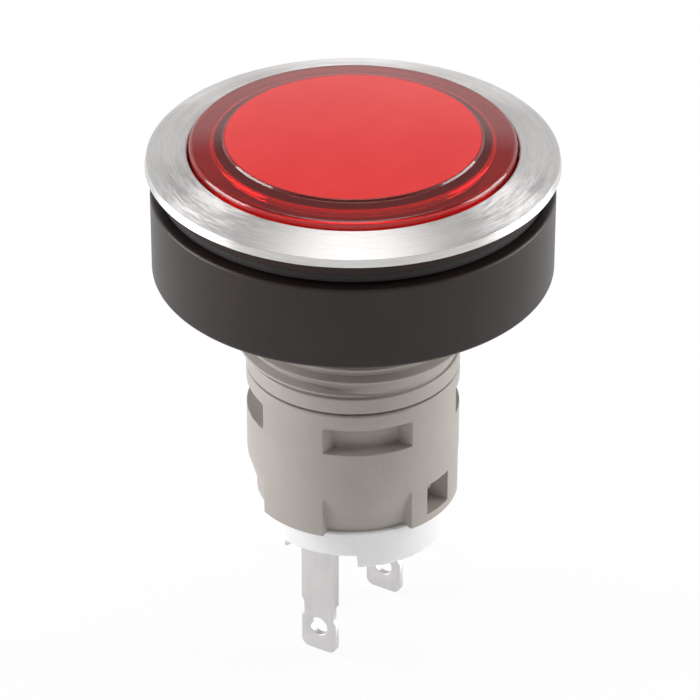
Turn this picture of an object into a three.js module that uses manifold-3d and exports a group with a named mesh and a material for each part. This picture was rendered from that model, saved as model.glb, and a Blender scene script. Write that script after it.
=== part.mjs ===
// Panel-mount push button for a 16 mm hole: steel bezel, red lens cap, M16 x 1 sleeve with a deep
// ring nut, bayonet-style contact housing and one double-break contact on two 2.8 mm tabs.
// Millimetres. The origin is on the button's axis in the plane of the panel's front face,
// +Z points at the operator, and the flat faces of the two tabs look along Y.

import * as THREE from 'three';
import { mergeVertices } from 'three/addons/utils/BufferGeometryUtils.js';
import Module from 'manifold-3d';

const wasm = await Module();
wasm.setup();

// ---------------------------------------------------------------- driving dimensions

const segments = 40;              // facets round a turned piece
const seatGap = 0.05;             // play between pieces that slide or turn face on face
const slideGap = 0.15;            // radial play of the moving parts
const fitGap = 0.1;               // radial play of parts pushed into one another

// bezel and front flange
const bezelRadius = 14;
const bezelWidth = 2.85;
const bezelRim = 0.58;            // height of the bright rim band
const bezelRise = 0.62;           // from the rim's top to the inner edge
const bezelDraft = 0.11;
const flangeInset = 0.8;          // black wall behind the bezel's rim
const wellFloor = 0.5;
const webThickness = 0.6;
const neckLength = 7;
const neckWall = 0.7;
const sealThickness = 0.64;
const sealInset = 0.1;

// lens cap, legend film and light tube
const lensGap = 0.12;             // lens to bezel
const lensProud = 0.44;           // lens edge above the bezel's inner edge
const lensEdgeHeight = 0.68;
const lensShoulder = 2.35;        // from the lens edge in to the raised disc
const plateauHeight = 0.41;       // above the lens edge
const domeRise = 0.22;
const lensWall = 0.55;
const lensRimWidth = 1.55;
const filmThickness = 0.3;
const carrierRim = 0.9;
const tubeWall = 0.8;

// stroke, guide and wiper
const travel = 2;
const stopGap = 0.1;              // left under the lens at full stroke
const wiperWidth = 1.1;
const wiperDepth = 1;
const wiperTop = -0.2;
const guideLength = 1.2;
const headClearance = 0.4;
const headThickness = 1.1;
const spigotLength = 2;
const stemRadius = 2.2;

// threaded sleeve
const threadRadius = 8;
const threadPitch = 1;
const threadDepth = 0.61;
const threadLead = 0.9;           // plain length under the flange
const threadPhase = -30;          // degrees: where a crest passes through its first height
const threadSteps = 24;           // per turn
const sleeveWall = 0.89;
const sleeveLength = 13.75;
const collarHeight = 1.15;        // plain collar at the sleeve's end
const reliefHeight = 0.5;
const keywayWidth = 1.6;
const keywayDepth = 0.75;
const keywayAngle = 120;          // degrees

// ring nut and lock washer
const nutInset = 0.31;            // nut's side behind the bezel's rim
const panelGap = 0.24;            // left for the panel with the nut run up
const nutHeight = 6.01;
const nutHub = 1.5;               // wall round the thread
const nutShell = 1.3;
const nutTopPlate = 2;
const nutLip = 2.1;
const nutRibs = 8;
const nutRibWidth = 1.1;
const washerThickness = 0.8;
const threadPlay = 0.12;

// contact housing
const shadowGap = 0.2;            // between sleeve and housing
const housingLength = 9.95;
const housingWall = 1.69;
const housingSpigot = 2.05;
const partitionThickness = 1;
const windowFirst = -50;          // degrees
const windowCount = 4;
const windowDrop = 1.35;
const windowHeight = 1.8;
const windowDepth = 1.1;
const windowHalf = 24.8;          // degrees at the surface
const windowTaper = 3.65;         // degrees per millimetre of depth
const rampMiddles = [-50, 48, 130, 216];       // degrees
const rampHalves = [24.8, 24.8, 24.8, 28.8];   // degrees at the surface
const rampHeight = 3.1;
const rampDepth = 0.9;
const rampLean = 1.9;             // degrees lost at the ramp's foot
const latchFirst = -5;            // degrees
const latchSize = 2.4;
const latchUp = 1.8;
const latchUnder = 0.6;           // open below the latch nib
const nibProud = 0.3;

// terminal base and tabs
const baseInset = 0.57;
const basePlate = 1.95;
const baseSpigot = 2.7;
const rimWidth = 1.1;
const deepRim = 0.95;
const shallowRim = 0.4;
const rimNotch = 46;              // degrees
const rimNotchMiddle = -79;       // degrees
const pocketPlay = 1.25;          // under the cage at full stroke
const tabWidth = 2.8;
const tabThickness = 0.5;
const tabInset = 1.3;             // tab's middle plane inside the housing's bore
const tabLength = 9.85;           // below the base's plate
const tabCorner = 0.6;
const tabHole = 0.7;
const tabHoleUp = 2;              // above the tab's end
const notchHeight = 1.5;
const notchDepth = 0.2;
const notchUp = 3.3;
const shelfLength = 1.75;
const slotGap = 0.05;
const tabRelief = 0.03;           // the tab's outer face is coined back inside the base

// contacts
const contactRadius = 0.7;
const contactHeight = 0.4;
const contactInset = 0.7;         // contact's middle to the tab's middle plane
const overtravel = 0.7;
const closedGap = 0.05;
const bridgeWidth = 3;
const bridgeThickness = 0.3;
const bridgeEnd = 1;              // bridge past the contact's middle
const cageWall = 1.25;
const cageSlot = 3.2;
const cageBar = 0.6;
const cageHead = 0.8;
const cageGap = 0.3;              // cage to the pocket in the base
const pegRadius = 1;

// springs
const returnWire = 0.5;
const returnInset = 1.1;          // coil's middle to the head's edge
const returnTurns = 6;
const contactWire = 0.25;
const contactCoil = 1.1;
const contactTurns = 5;
const springSides = 6;
const springSteps = 12;           // per turn

// ---------------------------------------------------------------- radii that follow

const bezelBore = bezelRadius - bezelWidth;
const lensRadius = bezelBore - lensGap;
const plateauRadius = lensRadius - lensShoulder;
const carrierRadius = lensRadius - lensRimWidth - fitGap;
const filmRadius = carrierRadius - carrierRim - fitGap;
const wellRadius = bezelBore + slideGap;
const flangeRadius = bezelRadius - flangeInset;
const sealRadius = flangeRadius - sealInset;
const threadCore = threadRadius - threadDepth;
const sleeveBore = threadCore - sleeveWall;
const coreInner = sleeveBore + sleeveWall / 3;
const neckRadius = sleeveBore - fitGap;
const neckBore = neckRadius - neckWall;
const tubeRadius = neckBore - wiperWidth;
const headRadius = neckBore - headClearance;
const returnRadius = headRadius - returnInset;
const nutRadius = bezelRadius - nutInset;
const washerRadius = nutRadius - nutLip;
const housingRadius = threadCore;
const housingBore = housingRadius - housingWall;
const baseRadius = housingRadius - baseInset;
const tabOffset = housingBore - tabInset;
const contactOffset = tabOffset - contactInset;
const bridgeReach = contactOffset + bridgeEnd;

// ---------------------------------------------------------------- heights that follow

const lensUnder = wellFloor + travel + stopGap;
const lensEdge = lensUnder + lensEdgeHeight;
const lensTop = lensEdge + plateauHeight;
const bezelTop = lensEdge - lensProud;
const rimTop = bezelTop - bezelRise;
const seatTop = rimTop - bezelRim;
const filmTop = lensTop - lensWall;
const filmUnder = filmTop - filmThickness;
const guideTop = wiperTop - wiperDepth;
const guideUnder = guideTop - guideLength;
const headTop = guideUnder - stopGap;
const headUnder = headTop - headThickness;
const sleeveEnd = -sleeveLength;
const collarTop = sleeveEnd + collarHeight;
const threadEnd = collarTop + reliefHeight;
const nutTop = -panelGap;
const nutBottom = nutTop - nutHeight;
const housingTop = sleeveEnd - shadowGap;
const housingEnd = housingTop - housingLength;
const partitionTop = housingTop + housingSpigot;
const partitionUnder = partitionTop - partitionThickness;
const plateUnder = housingEnd - basePlate;
const spigotTop = housingEnd + baseSpigot;
const tabEnd = plateUnder - tabLength;
const shelfTop = spigotTop + tabThickness;
const fixedTop = shelfTop + contactHeight;
const contactTravel = travel - overtravel;
const bridgeUnder = fixedTop + closedGap + contactTravel + contactHeight;
const bridgeTop = bridgeUnder + bridgeThickness;
const barUnder = bridgeUnder - cageBar;
const cageTop = bridgeUnder + cageSlot;
const stemUnder = cageTop + cageHead;
const pocketFloor = barUnder - travel - pocketPlay;

// ---------------------------------------------------------------- shape helpers

const radians = (degrees) => degrees * Math.PI / 180;
const point = (x, y) => new THREE.Vector2(x, y);

function solid(geometry) {
  const bare = geometry.clone();
  for (const name of Object.keys(bare.attributes)) {
    if (name !== 'position') bare.deleteAttribute(name);
  }
  const merged = mergeVertices(bare, 1e-5);
  const corners = merged.index.array;
  const kept = [];
  for (let i = 0; i < corners.length; i += 3) {
    const [a, b, c] = [corners[i], corners[i + 1], corners[i + 2]];
    if (a !== b && b !== c && c !== a) kept.push(a, b, c);
  }
  const mesh = new wasm.Mesh({
    numProp: 3,
    vertProperties: new Float32Array(merged.attributes.position.array),
    triVerts: new Uint32Array(kept),
  });
  return new wasm.Manifold(mesh);
}

function geometryOf(body) {
  const mesh = body.getMesh();
  const geometry = new THREE.BufferGeometry();
  geometry.setAttribute('position', new THREE.BufferAttribute(mesh.vertProperties, 3));
  geometry.setIndex(new THREE.BufferAttribute(mesh.triVerts, 1));
  geometry.computeVertexNormals();
  return geometry;
}

// A turned solid about Z. The outline lists [radius, height] pairs anticlockwise.
function turned(outline, steps = segments) {
  const points = outline.map(([r, z]) => point(r, z));
  const closed = outline[0][0] === 0 && outline.at(-1)[0] === 0;
  if (!closed) points.push(points[0].clone());
  return solid(new THREE.LatheGeometry(points, steps).rotateX(Math.PI / 2));
}

function disc(radius, low, high, steps = segments) {
  return turned([[0, low], [radius, low], [radius, high], [0, high]], steps);
}

function ring(inner, outer, low, high, steps = segments) {
  return turned([[inner, low], [outer, low], [outer, high], [inner, high]], steps);
}

// Points of an arc in an outline, from one angle to the other in degrees.
function arc(r, z, radius, from, to, steps = 4) {
  return Array.from({ length: steps + 1 }, (_, i) => {
    const angle = radians(from + (to - from) * i / steps);
    return [r + radius * Math.cos(angle), z + radius * Math.sin(angle)];
  });
}

function box(sizeX, sizeY, low, high, x = 0, y = 0) {
  const block = new THREE.BoxGeometry(sizeX, sizeY, high - low);
  return solid(block.translate(x, y, (low + high) / 2));
}

function spun(body, degrees) {
  return body.rotate([0, 0, degrees]);
}

// A block bent round the axis. Each corner of its section has a radius, a height and its own
// half angle in degrees, and the corners run anticlockwise.
function bentBlock(corners, steps = 8) {
  const size = corners.length;
  const positions = [];
  const index = [];
  for (let i = 0; i <= steps; i++) {
    for (const { r, z, half } of corners) {
      const angle = radians(half * (2 * i / steps - 1));
      positions.push(r * Math.cos(angle), r * Math.sin(angle), z);
    }
  }
  for (let i = 0; i < steps; i++) {
    for (let k = 0; k < size; k++) {
      const a = i * size + k;
      const b = i * size + (k + 1) % size;
      index.push(a, a + size, b + size, a, b + size, b);
    }
  }
  for (let k = 1; k < size - 1; k++) {
    const last = steps * size;
    index.push(0, k, k + 1, last, last + k + 1, last + k);
  }
  return meshSolid(positions, index);
}

function meshSolid(positions, index) {
  const geometry = new THREE.BufferGeometry();
  geometry.setAttribute('position', new THREE.Float32BufferAttribute(positions, 3));
  geometry.setIndex(index);
  return solid(geometry);
}

// A section swept along a right-handed helix about Z. The section lists [radius, height] pairs
// anticlockwise, and rise(t) gives the height for t from 0 to 1.
function helix(section, turns, rise, phase, perTurn) {
  const steps = Math.round(turns * perTurn);
  const size = section.length;
  const positions = [];
  const index = [];
  for (let i = 0; i <= steps; i++) {
    const angle = radians(phase) + 2 * Math.PI * i / perTurn;
    for (const [r, z] of section) {
      positions.push(r * Math.cos(angle), r * Math.sin(angle), z + rise(i / steps));
    }
  }
  for (let i = 0; i < steps; i++) {
    for (let k = 0; k < size; k++) {
      const a = i * size + k;
      const b = i * size + (k + 1) % size;
      index.push(a, a + size, b + size, a, b + size, b);
    }
  }
  for (let k = 1; k < size - 1; k++) {
    const last = steps * size;
    index.push(0, k, k + 1, last, last + k + 1, last + k);
  }
  return meshSolid(positions, index);
}

// The rounded 60 degree ridge of the sleeve's thread, or of the nut's when it points inwards.
function threadRidge(root, crest, low, turns, play) {
  const outward = Math.sign(crest - root);
  const foot = root - outward * 0.1;
  const halfRoot = threadPitch * 0.42 - play;
  const section = [[foot, -halfRoot], [crest, 0], [foot, halfRoot]];
  if (outward < 0) section.reverse();
  return helix(section, turns, (t) => low + threadPitch * turns * t, threadPhase, threadSteps);
}

// A compression spring with closed ends between two heights.
function coilSpring(wire, radius, turns, low, high) {
  const closedTurns = 1;
  const closedPitch = wire * 1.15;
  const section = arc(radius, 0, wire / 2, 0, 360 - 360 / springSides, springSides - 1);
  const whole = turns + 2 * closedTurns;
  const bottom = low + wire / 2;
  const top = high - wire / 2;
  const rise = (t) => {
    const turn = t * whole;
    const fromTop = whole - turn;
    if (turn <= closedTurns) return bottom + closedPitch * turn;
    if (fromTop <= closedTurns) return top - closedPitch * fromTop;
    const span = top - bottom - 2 * closedPitch * closedTurns;
    return bottom + closedPitch * closedTurns + span * (turn - closedTurns) / turns;
  };
  return helix(section, whole, rise, 0, springSteps);
}

// ---------------------------------------------------------------- front of the button

function bezelRing() {
  const edge = 0.12;
  return turned([
    [bezelBore, seatTop],
    [bezelRadius, seatTop],
    ...arc(bezelRadius - bezelDraft - edge, rimTop - edge, edge, 5, 75, 2),
    ...arc(bezelBore + edge, bezelTop - edge, edge, 100, 180, 2),
  ]);
}

function frontFlange() {
  const neckUnder = -neckLength;
  return turned([
    [neckBore, neckUnder],
    [neckRadius, neckUnder],
    [neckRadius, 0],
    [wellRadius + webThickness, 0],
    [wellRadius + webThickness, sealThickness],
    [flangeRadius, sealThickness],
    [flangeRadius, seatTop],
    [wellRadius, seatTop],
    [wellRadius, wellFloor],
    [neckBore, wellFloor],
    [neckBore, guideTop],
    [tubeRadius + slideGap, guideTop],
    [tubeRadius + slideGap, guideUnder],
    [neckBore, guideUnder],
  ]);
}

function flangeSeal() {
  return ring(wellRadius + webThickness + fitGap, sealRadius, 0, sealThickness);
}

function wiperSeal() {
  const inner = tubeRadius + seatGap;
  const outer = neckBore - seatGap;
  const lip = 0.3;
  return turned([
    [inner + lip, guideTop],
    [outer, guideTop],
    [outer, wiperTop],
    [inner + lip, wiperTop],
    [inner, wiperTop - lip],
    [inner, guideTop + lip],
  ]);
}

function lensCap() {
  const edge = 0.25;
  const shoulder = 0.12;
  const plateauSteps = 4;
  const dome = Array.from({ length: plateauSteps }, (_, i) => {
    const r = plateauRadius * (1 - (i + 1) / plateauSteps);
    return [r, lensTop + domeRise * (1 - (r / plateauRadius) ** 2)];
  });
  const body = turned([
    [0, filmTop],
    [lensRadius - lensRimWidth, filmTop],
    [lensRadius - lensRimWidth, lensUnder],
    [lensRadius, lensUnder],
    ...arc(lensRadius - edge, lensEdge - edge, edge, 0, 80, 2),
    [plateauRadius + shoulder, lensTop - shoulder],
    [plateauRadius, lensTop],
    ...dome,
  ]);
  return body;
}

function diffuserDisc() {
  return disc(filmRadius, filmUnder, filmTop);
}

function lensCarrier() {
  return turned([
    [tubeRadius - tubeWall, headTop],
    [tubeRadius, headTop],
    [tubeRadius, lensUnder],
    [carrierRadius, lensUnder],
    [carrierRadius, filmTop],
    [filmRadius + fitGap, filmTop],
    [filmRadius + fitGap, filmUnder],
    [tubeRadius - tubeWall, filmUnder],
  ]);
}

function plunger() {
  const spigot = tubeRadius - tubeWall - fitGap;
  const cup = spigot - tubeWall;
  return turned([
    [0, stemUnder - cageHead],
    [pegRadius, stemUnder - cageHead],
    [pegRadius, stemUnder],
    [stemRadius, stemUnder],
    [stemRadius, headUnder],
    [headRadius, headUnder],
    [headRadius, headTop],
    [spigot, headTop],
    [spigot, headTop + spigotLength],
    [cup, headTop + spigotLength],
    [cup, headTop],
    [0, headTop],
  ]);
}

// ---------------------------------------------------------------- sleeve, nut and washer

function keyway(depth, width, low, high) {
  const length = 2;
  const middle = threadRadius - depth + length / 2;
  return spun(box(length, width, low, high, middle, 0), keywayAngle);
}

function threadedSleeve() {
  const edge = 0.25;
  const turns = Math.floor((-threadLead - threadEnd) / threadPitch);
  const core = turned([
    [coreInner, collarTop - edge],
    [threadCore, collarTop - edge],
    [threadCore, edge - threadLead],
    [threadRadius - edge, 2 * edge - threadLead],
    [threadRadius - edge, 0],
    [coreInner, 0],
  ], threadSteps);
  const tube = turned([
    [sleeveBore, sleeveEnd],
    [housingRadius, sleeveEnd],
    [housingRadius, collarTop - edge],
    [housingRadius - edge, collarTop],
    [coreInner + edge, collarTop],
    [coreInner + edge, 0],
    [sleeveBore, 0],
  ]);
  const ridge = threadRidge(threadCore, threadRadius, threadEnd, turns, 0);
  const groove = keyway(keywayDepth, keywayWidth, collarTop + edge, 1);
  return core.add(ridge).add(tube).subtract(groove);
}

function lockWasher() {
  const low = nutTop - washerThickness;
  const washer = ring(threadRadius + slideGap, washerRadius, low, nutTop);
  const tongueWidth = keywayWidth - 2 * fitGap;
  const tongue = keyway(keywayDepth - fitGap, tongueWidth, low, nutTop);
  return washer.add(tongue);
}

function ringNut() {
  const counterbore = nutTop - washerThickness - seatGap;
  const minor = threadCore + threadPlay;
  const major = threadRadius + threadPlay;
  const hub = major + nutHub;
  const shell = nutRadius - nutShell;
  const ceiling = nutTop - nutTopPlate;
  const edge = 0.35;
  const shape = turned([
    [major, nutBottom],
    [hub, nutBottom],
    [hub, ceiling],
    [shell, ceiling],
    [shell, nutBottom],
    ...arc(nutRadius - edge, nutBottom + edge, edge, -90, 0, 2),
    ...arc(nutRadius - edge, nutTop - edge, edge, 0, 90, 2),
    [washerRadius + fitGap, nutTop],
    [washerRadius + fitGap, counterbore],
    [major, counterbore],
  ]);
  const turns = Math.floor((counterbore - nutBottom - threadPitch) / threadPitch);
  const offset = threadPitch / 2;
  const first = threadEnd + threadPitch * Math.ceil((nutBottom - threadEnd) / threadPitch);
  let body = shape.add(threadRidge(major, minor, first + offset, turns, threadPlay));
  const overlap = 0.2;
  const ribLength = shell - hub + 2 * overlap;
  for (let i = 0; i < nutRibs; i++) {
    const rib = box(ribLength, nutRibWidth, nutBottom + edge, ceiling + overlap, (hub + shell) / 2);
    body = body.add(spun(rib, 360 * i / nutRibs));
  }
  return body;
}

// ---------------------------------------------------------------- contact housing and base

function windowCutter() {
  const skin = 0.6;
  const outer = housingRadius + skin;
  const floor = housingRadius - windowDepth;
  const top = housingTop - windowDrop;
  const bottom = top - windowHeight;
  const half = (r) => windowHalf - windowTaper * (housingRadius - r);
  const lead = 0.25;
  return bentBlock([
    { r: floor, z: bottom, half: half(floor) },
    { r: outer, z: bottom, half: half(outer) },
    { r: outer, z: top + lead, half: half(outer) },
    { r: housingRadius - lead, z: top, half: half(housingRadius) },
    { r: floor, z: top, half: half(floor) },
  ]);
}

function rampCutter(half) {
  const skin = 0.6;
  const outer = housingRadius + skin;
  const under = housingEnd - skin;
  const slope = rampDepth / rampHeight;
  return bentBlock([
    { r: housingRadius - rampDepth - skin * slope, z: under, half: half - rampLean },
    { r: outer, z: under, half },
    { r: outer, z: housingEnd + rampHeight + skin / slope, half },
  ]);
}

function contactHousing() {
  const edge = 0.15;
  let body = turned([
    [housingBore, housingEnd],
    [housingRadius, housingEnd],
    [housingRadius, housingTop - edge],
    [housingRadius - edge, housingTop],
    [sleeveBore - fitGap, housingTop],
    [sleeveBore - fitGap, partitionTop],
    [stemRadius + slideGap, partitionTop],
    [stemRadius + slideGap, partitionUnder],
    [housingBore, partitionUnder],
  ]);
  for (let i = 0; i < windowCount; i++) {
    body = body.subtract(spun(windowCutter(), windowFirst + 360 * i / windowCount));
  }
  rampMiddles.forEach((middle, i) => {
    body = body.subtract(spun(rampCutter(rampHalves[i]), middle));
  });
  const low = housingEnd + latchUp - latchSize / 2;
  const window = box(4 * housingRadius, latchSize, low, low + latchSize);
  return body.subtract(spun(window, latchFirst));
}

function terminalBase() {
  const spigot = housingBore - fitGap;
  const edge = 0.3;
  let body = turned([
    [0, plateUnder],
    [baseRadius - edge, plateUnder],
    [baseRadius, plateUnder + edge],
    [baseRadius, housingEnd],
    [spigot, housingEnd],
    [spigot, spigotTop],
    [0, spigotTop],
  ]);
  body = body.add(rimArc(deepRim, rimNotchMiddle + 90)).add(rimArc(shallowRim, rimNotchMiddle + 270));
  const nibEnd = housingBore + nibProud;
  const nibRoot = spigot - nibProud;
  const latchLow = housingEnd + latchUp - latchSize / 2;
  const nibLow = latchLow + latchUnder;
  const nibHigh = latchLow + latchSize - fitGap;
  for (const turn of [0, 180]) {
    const nib = box(nibEnd - nibRoot, latchSize - 2 * fitGap, nibLow, nibHigh, (nibEnd + nibRoot) / 2);
    body = body.add(spun(nib, latchFirst + turn));
  }
  const pocketX = cageLength() + 2 * cageWall + 2 * cageGap;
  const pocketY = cageLength() + 2 * cageGap;
  body = body.subtract(box(pocketX, pocketY, pocketFloor, spigotTop + edge));
  for (const side of [-1, 1]) {
    const slot = box(
      tabWidth + 2 * slotGap, tabThickness + 2 * slotGap,
      plateUnder - deepRim, spigotTop + edge, 0, side * tabOffset);
    body = body.subtract(slot);
  }
  return body;
}

// One of the two arcs of the base's lower rim, between the notches beside the tabs.
function rimArc(depth, middle) {
  const edge = 0.3;
  const top = plateUnder + edge;
  const low = plateUnder - depth;
  const half = (180 - rimNotch) / 2;
  const block = bentBlock([
    { r: baseRadius - rimWidth, z: low, half },
    { r: baseRadius - edge, z: low, half },
    { r: baseRadius, z: low + edge, half },
    { r: baseRadius, z: top, half },
    { r: baseRadius - rimWidth, z: top, half },
  ], 18);
  return spun(block, middle);
}

function terminalBlade(side) {
  const half = tabWidth / 2;
  const outline = new THREE.Shape();
  const notchLow = tabEnd + notchUp - notchHeight / 2;
  const notchHigh = notchLow + notchHeight;
  outline.moveTo(-half + tabCorner, tabEnd);
  outline.lineTo(half - tabCorner, tabEnd);
  outline.absarc(half - tabCorner, tabEnd + tabCorner, tabCorner, -Math.PI / 2, 0, false);
  outline.lineTo(half, notchLow);
  outline.quadraticCurveTo(half - 2 * notchDepth, (notchLow + notchHigh) / 2, half, notchHigh);
  outline.lineTo(half, shelfTop);
  outline.lineTo(-half, shelfTop);
  outline.lineTo(-half, notchHigh);
  outline.quadraticCurveTo(-half + 2 * notchDepth, (notchLow + notchHigh) / 2, -half, notchLow);
  outline.lineTo(-half, tabEnd + tabCorner);
  outline.absarc(-half + tabCorner, tabEnd + tabCorner, tabCorner, Math.PI, 1.5 * Math.PI, false);
  const hole = new THREE.Path();
  hole.absarc(0, tabEnd + tabHoleUp, tabHole, 0, 2 * Math.PI, true);
  outline.holes.push(hole);
  const plate = new THREE.ExtrudeGeometry(outline, {
    depth: tabThickness, bevelEnabled: false, curveSegments: 6,
  });
  plate.rotateX(Math.PI / 2).translate(0, side * tabOffset + tabThickness / 2, 0);
  const outerFace = tabOffset + tabThickness / 2;
  const shelfMiddle = side * (outerFace - shelfLength / 2);
  const shelf = box(tabWidth, shelfLength, spigotTop, shelfTop, 0, shelfMiddle);
  const reliefEnd = plateUnder - deepRim - fitGap;
  const relief = box(2 * tabWidth, 2 * tabRelief, reliefEnd, shelfTop + fitGap, 0, side * outerFace);
  return solid(plate).add(shelf).subtract(relief);
}

// ---------------------------------------------------------------- moving contact

function cageLength() {
  return bridgeWidth + 2 * fitGap;
}

function contactCarrier() {
  const slotWidth = bridgeWidth + 2 * fitGap;
  const width = slotWidth + 2 * cageWall;
  const block = box(width, cageLength(), barUnder, stemUnder);
  const slot = box(slotWidth, 2 * cageLength(), bridgeUnder, cageTop);
  const hole = disc(pegRadius + seatGap, cageTop - seatGap, stemUnder + seatGap, 36);
  return block.subtract(slot).subtract(hole);
}

function contactBridge() {
  return box(bridgeWidth, 2 * bridgeReach, bridgeUnder, bridgeTop);
}

function contactRivet(side, low) {
  const rivet = disc(contactRadius, low, low + contactHeight, 24);
  return rivet.translate([0, side * contactOffset, 0]);
}

// ---------------------------------------------------------------- assembly

const finishes = {
  steel: { color: 0xd6d4d2, roughness: 0.28, metalness: 1 },
  tin: { color: 0xcfcdcc, roughness: 0.3, metalness: 1 },
  silver: { color: 0xe4e2dc, roughness: 0.25, metalness: 1 },
  bronze: { color: 0xb98b5a, roughness: 0.35, metalness: 1 },
  spring: { color: 0xa9abae, roughness: 0.3, metalness: 1 },
  black: { color: 0x2c2626, roughness: 0.5, metalness: 0 },
  rubber: { color: 0x1b1817, roughness: 0.8, metalness: 0 },
  grey: { color: 0x9d968f, roughness: 0.55, metalness: 0 },
  white: { color: 0xe2e1e1, roughness: 0.5, metalness: 0 },
  milky: { color: 0xf2efe9, roughness: 0.6, metalness: 0 },
  red: { color: 0xd3222a, roughness: 0.12, metalness: 0 },
};

const button = new THREE.Group();

function place(name, body, finish) {
  const material = new THREE.MeshStandardMaterial(finishes[finish]);
  const mesh = new THREE.Mesh(geometryOf(body), material);
  mesh.name = name;
  button.add(mesh);
}

place('bezel_ring', bezelRing(), 'steel');
place('front_flange', frontFlange(), 'black');
place('flange_seal', flangeSeal(), 'rubber');
place('wiper_seal', wiperSeal(), 'rubber');
place('lens_cap', lensCap(), 'red');
place('diffuser_disc', diffuserDisc(), 'milky');
place('lens_carrier', lensCarrier(), 'white');
place('plunger', plunger(), 'white');
place('threaded_sleeve', threadedSleeve(), 'grey');
place('lock_washer', lockWasher(), 'steel');
place('ring_nut', ringNut(), 'black');
place('contact_housing', contactHousing(), 'grey');
place('terminal_base', terminalBase(), 'white');
place('contact_carrier', contactCarrier(), 'black');
place('contact_bridge', contactBridge(), 'bronze');
place('return_spring', coilSpring(returnWire, returnRadius, returnTurns, partitionTop, headUnder), 'spring');
place('contact_spring', coilSpring(contactWire, contactCoil, contactTurns, bridgeTop, cageTop), 'spring');

for (const [end, side] of [['front', -1], ['rear', 1]]) {
  place(`terminal_blade_${end}`, terminalBlade(side), 'tin');
  place(`fixed_contact_${end}`, contactRivet(side, shelfTop), 'silver');
  place(`bridge_contact_${end}`, contactRivet(side, bridgeUnder - contactHeight), 'silver');
}

export default button;
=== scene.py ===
import bmesh
import bpy
import math
from mathutils import Matrix, Vector


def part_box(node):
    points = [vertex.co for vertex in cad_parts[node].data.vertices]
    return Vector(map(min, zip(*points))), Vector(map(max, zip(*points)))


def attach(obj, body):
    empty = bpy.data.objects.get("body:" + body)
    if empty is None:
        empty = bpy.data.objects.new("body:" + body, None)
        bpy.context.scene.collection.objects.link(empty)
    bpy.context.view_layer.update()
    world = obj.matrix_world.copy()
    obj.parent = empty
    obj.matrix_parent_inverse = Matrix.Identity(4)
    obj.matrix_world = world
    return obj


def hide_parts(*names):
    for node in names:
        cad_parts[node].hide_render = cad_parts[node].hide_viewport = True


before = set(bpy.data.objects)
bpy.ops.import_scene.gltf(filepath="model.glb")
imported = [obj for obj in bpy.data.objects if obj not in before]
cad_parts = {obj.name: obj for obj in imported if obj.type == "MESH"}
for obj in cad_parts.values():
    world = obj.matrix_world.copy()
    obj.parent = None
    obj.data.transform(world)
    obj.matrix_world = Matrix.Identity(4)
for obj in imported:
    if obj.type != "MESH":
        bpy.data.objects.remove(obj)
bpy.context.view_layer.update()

# Panel push button with a steel bezel and a red lens cap. Sizes are in millimetres.
mm = 0.001
turnSteps = 224  # facets round a turned piece


def low(node, axis=2):
    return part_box(node)[0][axis] / mm


def high(node, axis=2):
    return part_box(node)[1][axis] / mm


cameraSet = {
    "azimuth": 31.5,
    "elevation": 29.18,
    "distance": 280.0,
    "tiltDown": 2.579,  # degrees the view is aimed below the bezel
    "turnLeft": 0.049,
    "lens": 214.35,
}


def addCamera():
    s = cameraSet
    az, el = math.radians(s["azimuth"]), math.radians(s["elevation"])
    target = Vector((0, 0, low("bezel_ring"))) * mm
    back = Vector((math.sin(az) * math.cos(el), -math.cos(az) * math.cos(el), math.sin(el)))
    data = bpy.data.cameras.new("camera")
    data.lens = s["lens"]
    data.sensor_width = 36
    data.clip_start = 0.01
    camera = bpy.data.objects.new("camera", data)
    bpy.context.scene.collection.objects.link(camera)
    camera.location = target + back * s["distance"] * mm
    camera.rotation_mode = "XYZ"
    camera.rotation_euler = (
        math.pi / 2 - el - math.radians(s["tiltDown"]), 0, az + math.radians(s["turnLeft"]))
    bpy.context.scene.camera = camera


addCamera()
print("camera placed")


def linear(code):
    channels = [int(code[i:i + 2], 16) / 255 for i in (0, 2, 4)]
    return [c / 12.92 if c <= 0.04045 else ((c + 0.055) / 1.055) ** 2.4 for c in channels] + [1]


def addNode(tree, kind, inputs=None, **settings):
    # inputs maps a socket's name or number to a value or to another node's output
    node = tree.nodes.new(kind)
    for key, value in settings.items():
        setattr(node, key, value)
    for key, value in (inputs or {}).items():
        if isinstance(value, bpy.types.NodeSocket):
            tree.links.new(value, node.inputs[key])
        else:
            node.inputs[key].default_value = value
    return node


def startMaterial(name, **shader):
    material = bpy.data.materials.new(name)
    material.use_nodes = True
    tree = material.node_tree
    tree.nodes.clear()
    surface = addNode(tree, "ShaderNodeBsdfPrincipled", shader)
    addNode(tree, "ShaderNodeOutputMaterial", {"Surface": surface.outputs[0]})
    place = addNode(tree, "ShaderNodeTexCoord")
    return material, tree, surface, place.outputs["Object"]


def radiusAndAngle(tree, place):
    split = addNode(tree, "ShaderNodeSeparateXYZ", {"Vector": place}).outputs
    flat = addNode(tree, "ShaderNodeCombineXYZ", {"X": split[0], "Y": split[1], "Z": 0.0})
    radius = addNode(tree, "ShaderNodeVectorMath", {0: flat.outputs[0]}, operation="LENGTH")
    angle = addNode(tree, "ShaderNodeMath", {0: split[1], 1: split[0]}, operation="ARCTAN2")
    return radius.outputs["Value"], angle.outputs[0], split[2]


def outward(tree, place):
    # unit vector straight out from the Z axis
    flat = addNode(tree, "ShaderNodeVectorMath", {0: place, 1: (1, 1, 0)}, operation="MULTIPLY")
    return addNode(tree, "ShaderNodeVectorMath", {0: flat.outputs[0]},
                   operation="NORMALIZE").outputs[0]


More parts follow.
